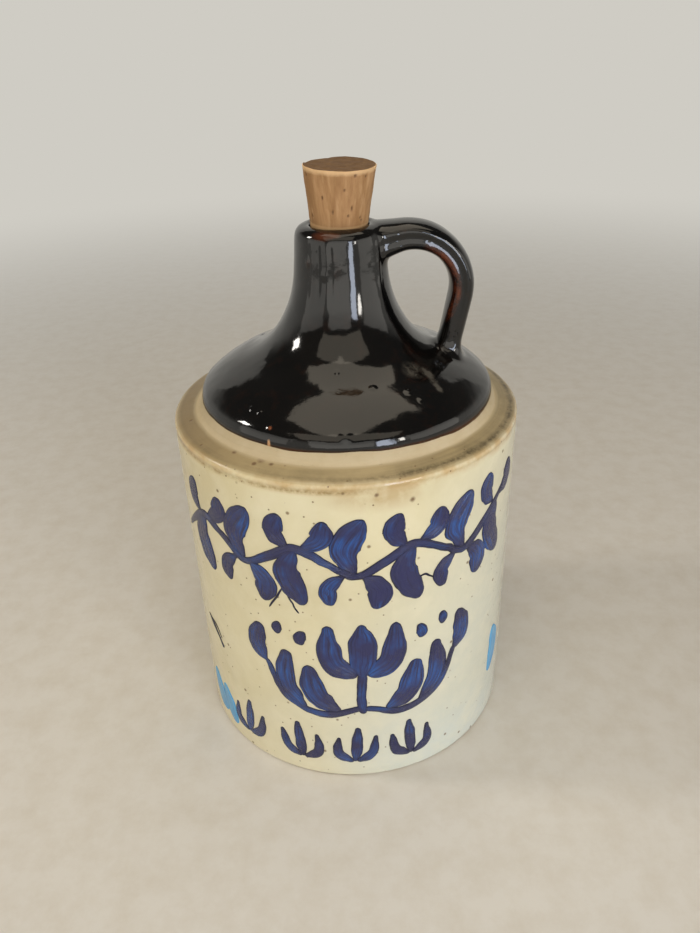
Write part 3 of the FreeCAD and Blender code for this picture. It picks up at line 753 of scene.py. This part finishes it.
spray = start_marks("upper_leaf_spray")
vine = [
    (-108, 132), (-96, 142), (-82, 151), (-68, 146), (-54, 137), (-40, 144), (-26, 151), (-12, 145),
    (2, 137), (16, 144), (30, 151), (44, 145), (58, 138), (72, 146), (84, 154), (97, 163),
]
brush(spray, vine, (1.4, 2.6, 2.0, 2.8, 2.0, 2.7, 2.0, 2.6, 1.2))
for u, h in ((-54, 137), (2, 137), (58, 138)):
    brush(spray, [(u, h + 1), (u - 5, h + 15), (u + 4, h + 31)], (1.4, 4.4, 7.2, 6.8, 3.6))
    brush(spray, [(u + 3, h), (u + 11, h - 8), (u + 10, h - 20)], (1.4, 5.2, 6.4, 4.0))
    brush(spray, [(u - 5, h + 1), (u - 13, h - 7), (u - 12, h - 17)], (1.2, 3.8, 4.6, 2.8))
for u, h in ((-82, 151), (-26, 151), (30, 151), (84, 154)):
    brush(spray, [(u, h), (u - 5, h - 14), (u + 3, h - 32)], (1.4, 4.6, 7.0, 6.6, 3.4))
    brush(spray, [(u - 4, h), (u - 10, h + 8), (u - 7, h + 18)], (1.4, 4.4, 5.4, 3.2))
    brush(spray, [(u + 3, h + 1), (u + 12, h + 6), (u + 14, h + 16)], (1.2, 4.4, 5.6, 3.6))
for u, h in ((-39, 160), (17, 160), (-68, 128), (-13, 128), (44, 129), (73, 130)):
    brush(spray, [(u, h - 3), (u + 0.6, h), (u, h + 3)], (2.0, 3.0, 2.0))
lay_on_wall(spray, 1.5)

tulip = start_marks("tulip_among_leaves")
# strokes are given from the flower's middle, and made on both sides
middle = 4
brush(tulip, [(middle, 48), (middle - 1, 60), (middle, 76)], (2.2, 2.8, 2.4, 2.6))
brush(tulip, [(middle, 73), (middle + 0.5, 90), (middle, 108)], (2.4, 7.0, 7.4, 2.4))
for side in (-1, 1):
    for stroke, half_widths in (
        (((3, 74), (15, 84), (17, 107)), (3.2, 6.6, 6.6, 2.4)),
        (((1, 52), (22, 47), (42, 57), (51, 78)), (2.0, 2.4, 2.2, 1.8)),
        (((12, 50), (24, 60), (28, 80)), (1.8, 6.2, 7.0, 3.2)),
        (((30, 50), (40, 66), (39, 88)), (1.6, 4.8, 5.8, 2.8)),
        (((51, 76), (56, 87), (53, 101)), (2.0, 5.4, 5.6, 2.6)),
        (((30, 93), (31, 97), (29, 102)), (2.0, 3.4, 2.2)),
        (((43, 97), (43, 101), (42, 105)), (1.8, 3.0, 2.0)),
    ):
        brush(tulip, [(middle + u * side, h) for u, h in stroke], half_widths)
# hair-fine threads where the brush left the wall
brush(tulip, [(-42, 113), (-37, 121), (-33, 127), (-30, 120), (-26, 113)], (0.5, 0.6, 0.45, 0.5, 0.6))
brush(tulip, [(25, 134), (31, 131), (36, 132), (41, 128)], (0.6, 0.5, 0.6, 0.4))
lay_on_wall(tulip, 1.4)

sprigs = start_marks("four_small_sprigs")
for u, turn in ((-66, 4), (-30, -4), (-1, 3), (30, -3)):
    brush(sprigs, [(u, 12), (u + turn * 0.3, 24), (u + turn * 0.6, 38)], (1.4, 3.2, 3.0, 1.4))
    brush(sprigs, [(u - 1, 12), (u - 9, 18), (u - 10 + turn * 0.4, 30)], (1.4, 3.1, 2.7, 1.2))
    brush(sprigs, [(u + 1, 12), (u + 9, 18), (u + 10 + turn * 0.4, 31)], (1.4, 3.1, 2.7, 1.2))
# a dry smear at the far left
brush(sprigs, [(-97, 79), (-91, 74), (-87, 70), (-82, 64)], (0.8, 1.5, 1.0, 1.2))
brush(sprigs, [(-95, 78), (-88, 76), (-83, 70)], (0.5, 0.7, 0.5))
lay_on_wall(sprigs, 1.1)

# cobalt enamel, brushed on: thick, high gloss and streaked along the stroke
enamel, tree, shader = new_material("cobalt_brush_enamel")
coordinates = add(tree, "ShaderNodeTexCoord", {})
place = coordinates.outputs["Object"]
along_brush = add(tree, "ShaderNodeMapping", {"Vector": coordinates.outputs["UV"], "Scale": (2.0, 22, 1)})
hairs = add(tree, "ShaderNodeTexNoise", {"Vector": along_brush, "Scale": 1, "Detail": 4, "Roughness": 0.6})
pools = add(tree, "ShaderNodeTexNoise", {"Vector": place, "Scale": 55, "Detail": 3})
crown = add(tree, "ShaderNodeAttribute", {}, attribute_name="crown").outputs["Fac"]
thin = add(tree, "ShaderNodeMapRange", {"Value": pools, "From Min": 0.44, "From Max": 0.66})
base = lay_tints(tree, linear("#292C58"), [
    (hairs, 0.40, 0.62, thin, "#225BA8"),  # brighter blue where the brush dragged it thin
    (hairs, 0.46, 0.30, 0.8, "#1C1E40"),  # navy where thick
    (crown, 0.75, 0.3, 0.85, "#1B1C3A"),  # darker along the edge of each mark
])
relief = add(tree, "ShaderNodeBump", {"Height": hairs, "Strength": 1.0, "Distance": 0.0012})
blobs = add(tree, "ShaderNodeTexNoise", {"Vector": place, "Scale": 240, "Detail": 3})
relief = add(tree, "ShaderNodeBump", {"Height": blobs, "Strength": 0.6, "Distance": 0.0008, "Normal": relief})
connect(tree, shader, {"Base Color": base, "Roughness": 0.14, "IOR": 1.5, "Normal": relief})
for marks in (spray, tulip, sprigs):
    marks.data.materials.append(enamel)
    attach(marks, "root")

dabs = start_marks("pale_blue_dabs")
brush(dabs, [(94, 64), (97, 50), (92, 33)], (2.8, 6.2, 6.2, 2.6))
brush(dabs, [(-101, 35), (-96, 22), (-90, 10)], (3.2, 6.2, 5.0))
brush(dabs, [(-88, 33), (-84, 21), (-79, 8)], (2.8, 5.6, 3.6))
lay_on_wall(dabs, 1.2)
# pale blue enamel: the same paint let down with white, a little duller
pale_enamel, tree, shader = new_material("pale_blue_enamel")
coordinates = add(tree, "ShaderNodeTexCoord", {})
along_brush = add(tree, "ShaderNodeMapping", {"Vector": coordinates.outputs["UV"], "Scale": (2.0, 18, 1)})
hairs = add(tree, "ShaderNodeTexNoise", {"Vector": along_brush, "Scale": 1, "Detail": 4, "Roughness": 0.6})
base = lay_tints(tree, linear("#3C93CE"), [(hairs, 0.38, 0.64, 1, "#6DB0D3")])
connect(tree, shader, {"Base Color": base, "Roughness": 0.26})
dabs.data.materials.append(pale_enamel)
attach(dabs, "root")


# ---------------------------------------------------------------- Cork
# A tapered cork punched from bark and pressed into the mouth, where it leans
# to the handle and the front. Its side shows upright grain and dark pores; its
# top is worn brown, with a pale rim and a chipped back edge.
# the slope of its side, the radius at the top's edge and the height of the top, in mm
TAPER = math.tan(math.radians(7.1))
TOP_RADIUS, TOP = 16.9, 302.1
profile = [(1, 264.1), (6, 264.1), (11.4, 264.1), (12.1, 264.7)]
profile += [(TOP_RADIUS - (TOP - h) * TAPER, h) for h in [265.3 + 0.6 * k for k in range(61)]]
profile += [(16.78, 301.75), (16.55, 301.98), (16.2, 302.08)]
profile += [(16.2 - 0.8 * k, TOP) for k in range(1, 20)]
cork = start_ring("bark_cork", 220, *profile[0])
pull_up(profile)
close_shape(cork)
displace(cork, 7, 0.45, "NORMAL", 0.75)
# each pore's angle in degrees, height, half width and half height in mm
pores = [
    (-64, 298.8, 0.9, 0.8), (25, 299.9, 1.1, 0.9), (22, 285.7, 0.6, 1.7), (16, 282.4, 0.7, 0.9),
    (8, 293.9, 0.7, 0.8), (42, 281.0, 0.7, 0.8), (46, 279.6, 0.8, 0.8), (46, 299.0, 0.8, 0.7),
    (-30, 290.0, 0.6, 1.3), (-12, 284.0, 0.5, 1.4), (110, 290, 0.8, 1.5), (150, 283, 0.8, 1.0),
    (185, 295, 0.9, 1.2), (230, 287, 0.7, 1.6), (262, 297, 0.8, 1.0), (300, 281, 0.8, 1.1),
]
END_FACE, PORE_DEPTH = 301.3, 0.6
worn = cork.data.attributes.new("pore", "FLOAT", "POINT")
cut_end = cork.data.attributes.new("cut_end", "FLOAT", "POINT")
for vertex in cork.data.vertices:
    p = vertex.co / MM
    r, a = math.hypot(p.x, p.y), math.degrees(math.atan2(p.x, -p.y))
    if p.z < END_FACE:
        for pa, pz, half_wide, half_high in pores:
            across = ((a - pa + 180) % 360 - 180) * math.radians(1) * r
            d = math.hypot(across / half_wide, (p.z - pz) / half_high)
            if d < 1:
                deep = (1 - d * d) ** 1.5
                vertex.co.x *= 1 - PORE_DEPTH * deep / r
                vertex.co.y *= 1 - PORE_DEPTH * deep / r
                worn.data[vertex.index].value = max(worn.data[vertex.index].value, deep)
    # the back left of the top is chipped down, and the face dips a little
    if p.z > 299:
        chip = max(0.0, -0.62 * p.x + 0.78 * p.y - 12.0 + 1.2 * math.sin(9 * math.radians(a)))
        vertex.co.z -= MM * 0.26 * min(chip, 2.6) * (p.z - 299) / 3.1
    cut_end.data[vertex.index].value = 1.0 if p.z > END_FACE and r < 16.3 else 0.0
    if p.z > END_FACE and r < 15.6:
        vertex.co.z -= MM * (0.25 + 0.12 * math.sin(0.5 * p.x + 1) * math.sin(0.7 * p.y))
to_lip = Matrix.Translation((0, 0, 0.276))
leaning = Matrix.Rotation(math.radians(2.5), 4, "X") @ Matrix.Rotation(math.radians(2.0), 4, "Y")
cork.matrix_world = to_lip @ leaning @ to_lip.inverted()
bpy.ops.object.transform_apply(location=True, rotation=True, scale=True)

# natural cork: matt tan bark with fine upright grain, browner and dirty on top
bark, tree, shader = new_material("natural_cork_bark")
place = add(tree, "ShaderNodeTexCoord", {}).outputs["Object"]
xyz = add(tree, "ShaderNodeSeparateXYZ", {"Vector": place})
z = add(tree, "ShaderNodeMath", {
    0: xyz.outputs["Y"], 1: -0.0436, 2: xyz.outputs["Z"],
}, operation="MULTIPLY_ADD")
z = add(tree, "ShaderNodeMath", {0: xyz.outputs["X"], 1: 0.035, 2: z}, operation="MULTIPLY_ADD")
upright = add(tree, "ShaderNodeMapping", {"Vector": place, "Scale": (1, 1, 0.12)})
grain = add(tree, "ShaderNodeTexNoise", {"Vector": upright, "Scale": 420, "Detail": 5, "Roughness": 0.6})
broad = add(tree, "ShaderNodeTexNoise", {"Vector": upright, "Scale": 110, "Detail": 3})
crumbs = add(tree, "ShaderNodeTexNoise", {"Vector": place, "Scale": 380, "Detail": 5, "Roughness": 0.7})
rub = add(tree, "ShaderNodeMath", {0: crumbs, 1: 0.0016, 2: z}, operation="MULTIPLY_ADD")
base = lay_tints(tree, linear("#B0875B"), [
    (broad, 0.35, 0.65, 1, "#966E42"),
    (grain, 0.48, 0.68, 0.6, "#8A6239"),
    (grain, 0.46, 0.30, 0.5, "#C8A277"),
    (rub, 0.3004, 0.3018, 0.75, "#E2BC8B"),  # rubbed pale round the top's edge
    (z, 0.2775, 0.2767, 0.6, "#D2AB7A"),  # and where the lip presses
])
top = add(tree, "ShaderNodeAttribute", {}, attribute_name="cut_end").outputs["Fac"]
top = add(tree, "ShaderNodeMath", {0: crumbs, 1: -0.5, 2: top}, operation="MULTIPLY_ADD")
top = add(tree, "ShaderNodeMapRange", {"Value": top, "From Min": 0.12, "From Max": 0.4})
top_colour = lay_tints(tree, linear("#80603A"), [(crumbs, 0.3, 0.62, 1, "#684A2A")])
base = add(tree, "ShaderNodeMix", {"Factor": top, "A": base, "B": top_colour}, data_type="RGBA")
pore = add(tree, "ShaderNodeAttribute", {}, attribute_name="pore").outputs["Fac"]
fine_pores = add(tree, "ShaderNodeMapRange", {
    "Value": crumbs, "From Min": 0.66, "From Max": 0.76, "To Max": 0.6,
})
holes = add(tree, "ShaderNodeMath", {0: pore, 1: fine_pores}, operation="MAXIMUM")
base = add(tree, "ShaderNodeMix", {"Factor": holes, "A": base, "B": linear("#553519")}, data_type="RGBA")
relief = add(tree, "ShaderNodeBump", {"Height": grain, "Strength": 0.5, "Distance": 0.0005})
relief = add(tree, "ShaderNodeBump", {
    "Height": crumbs, "Strength": 0.4, "Distance": 0.0005, "Normal": relief,
})
connect(tree, shader, {"Base Color": base, "Roughness": 0.72, "Normal": relief})
cork.data.materials.append(bark)
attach(cork, "root")
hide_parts("cork_stopper")
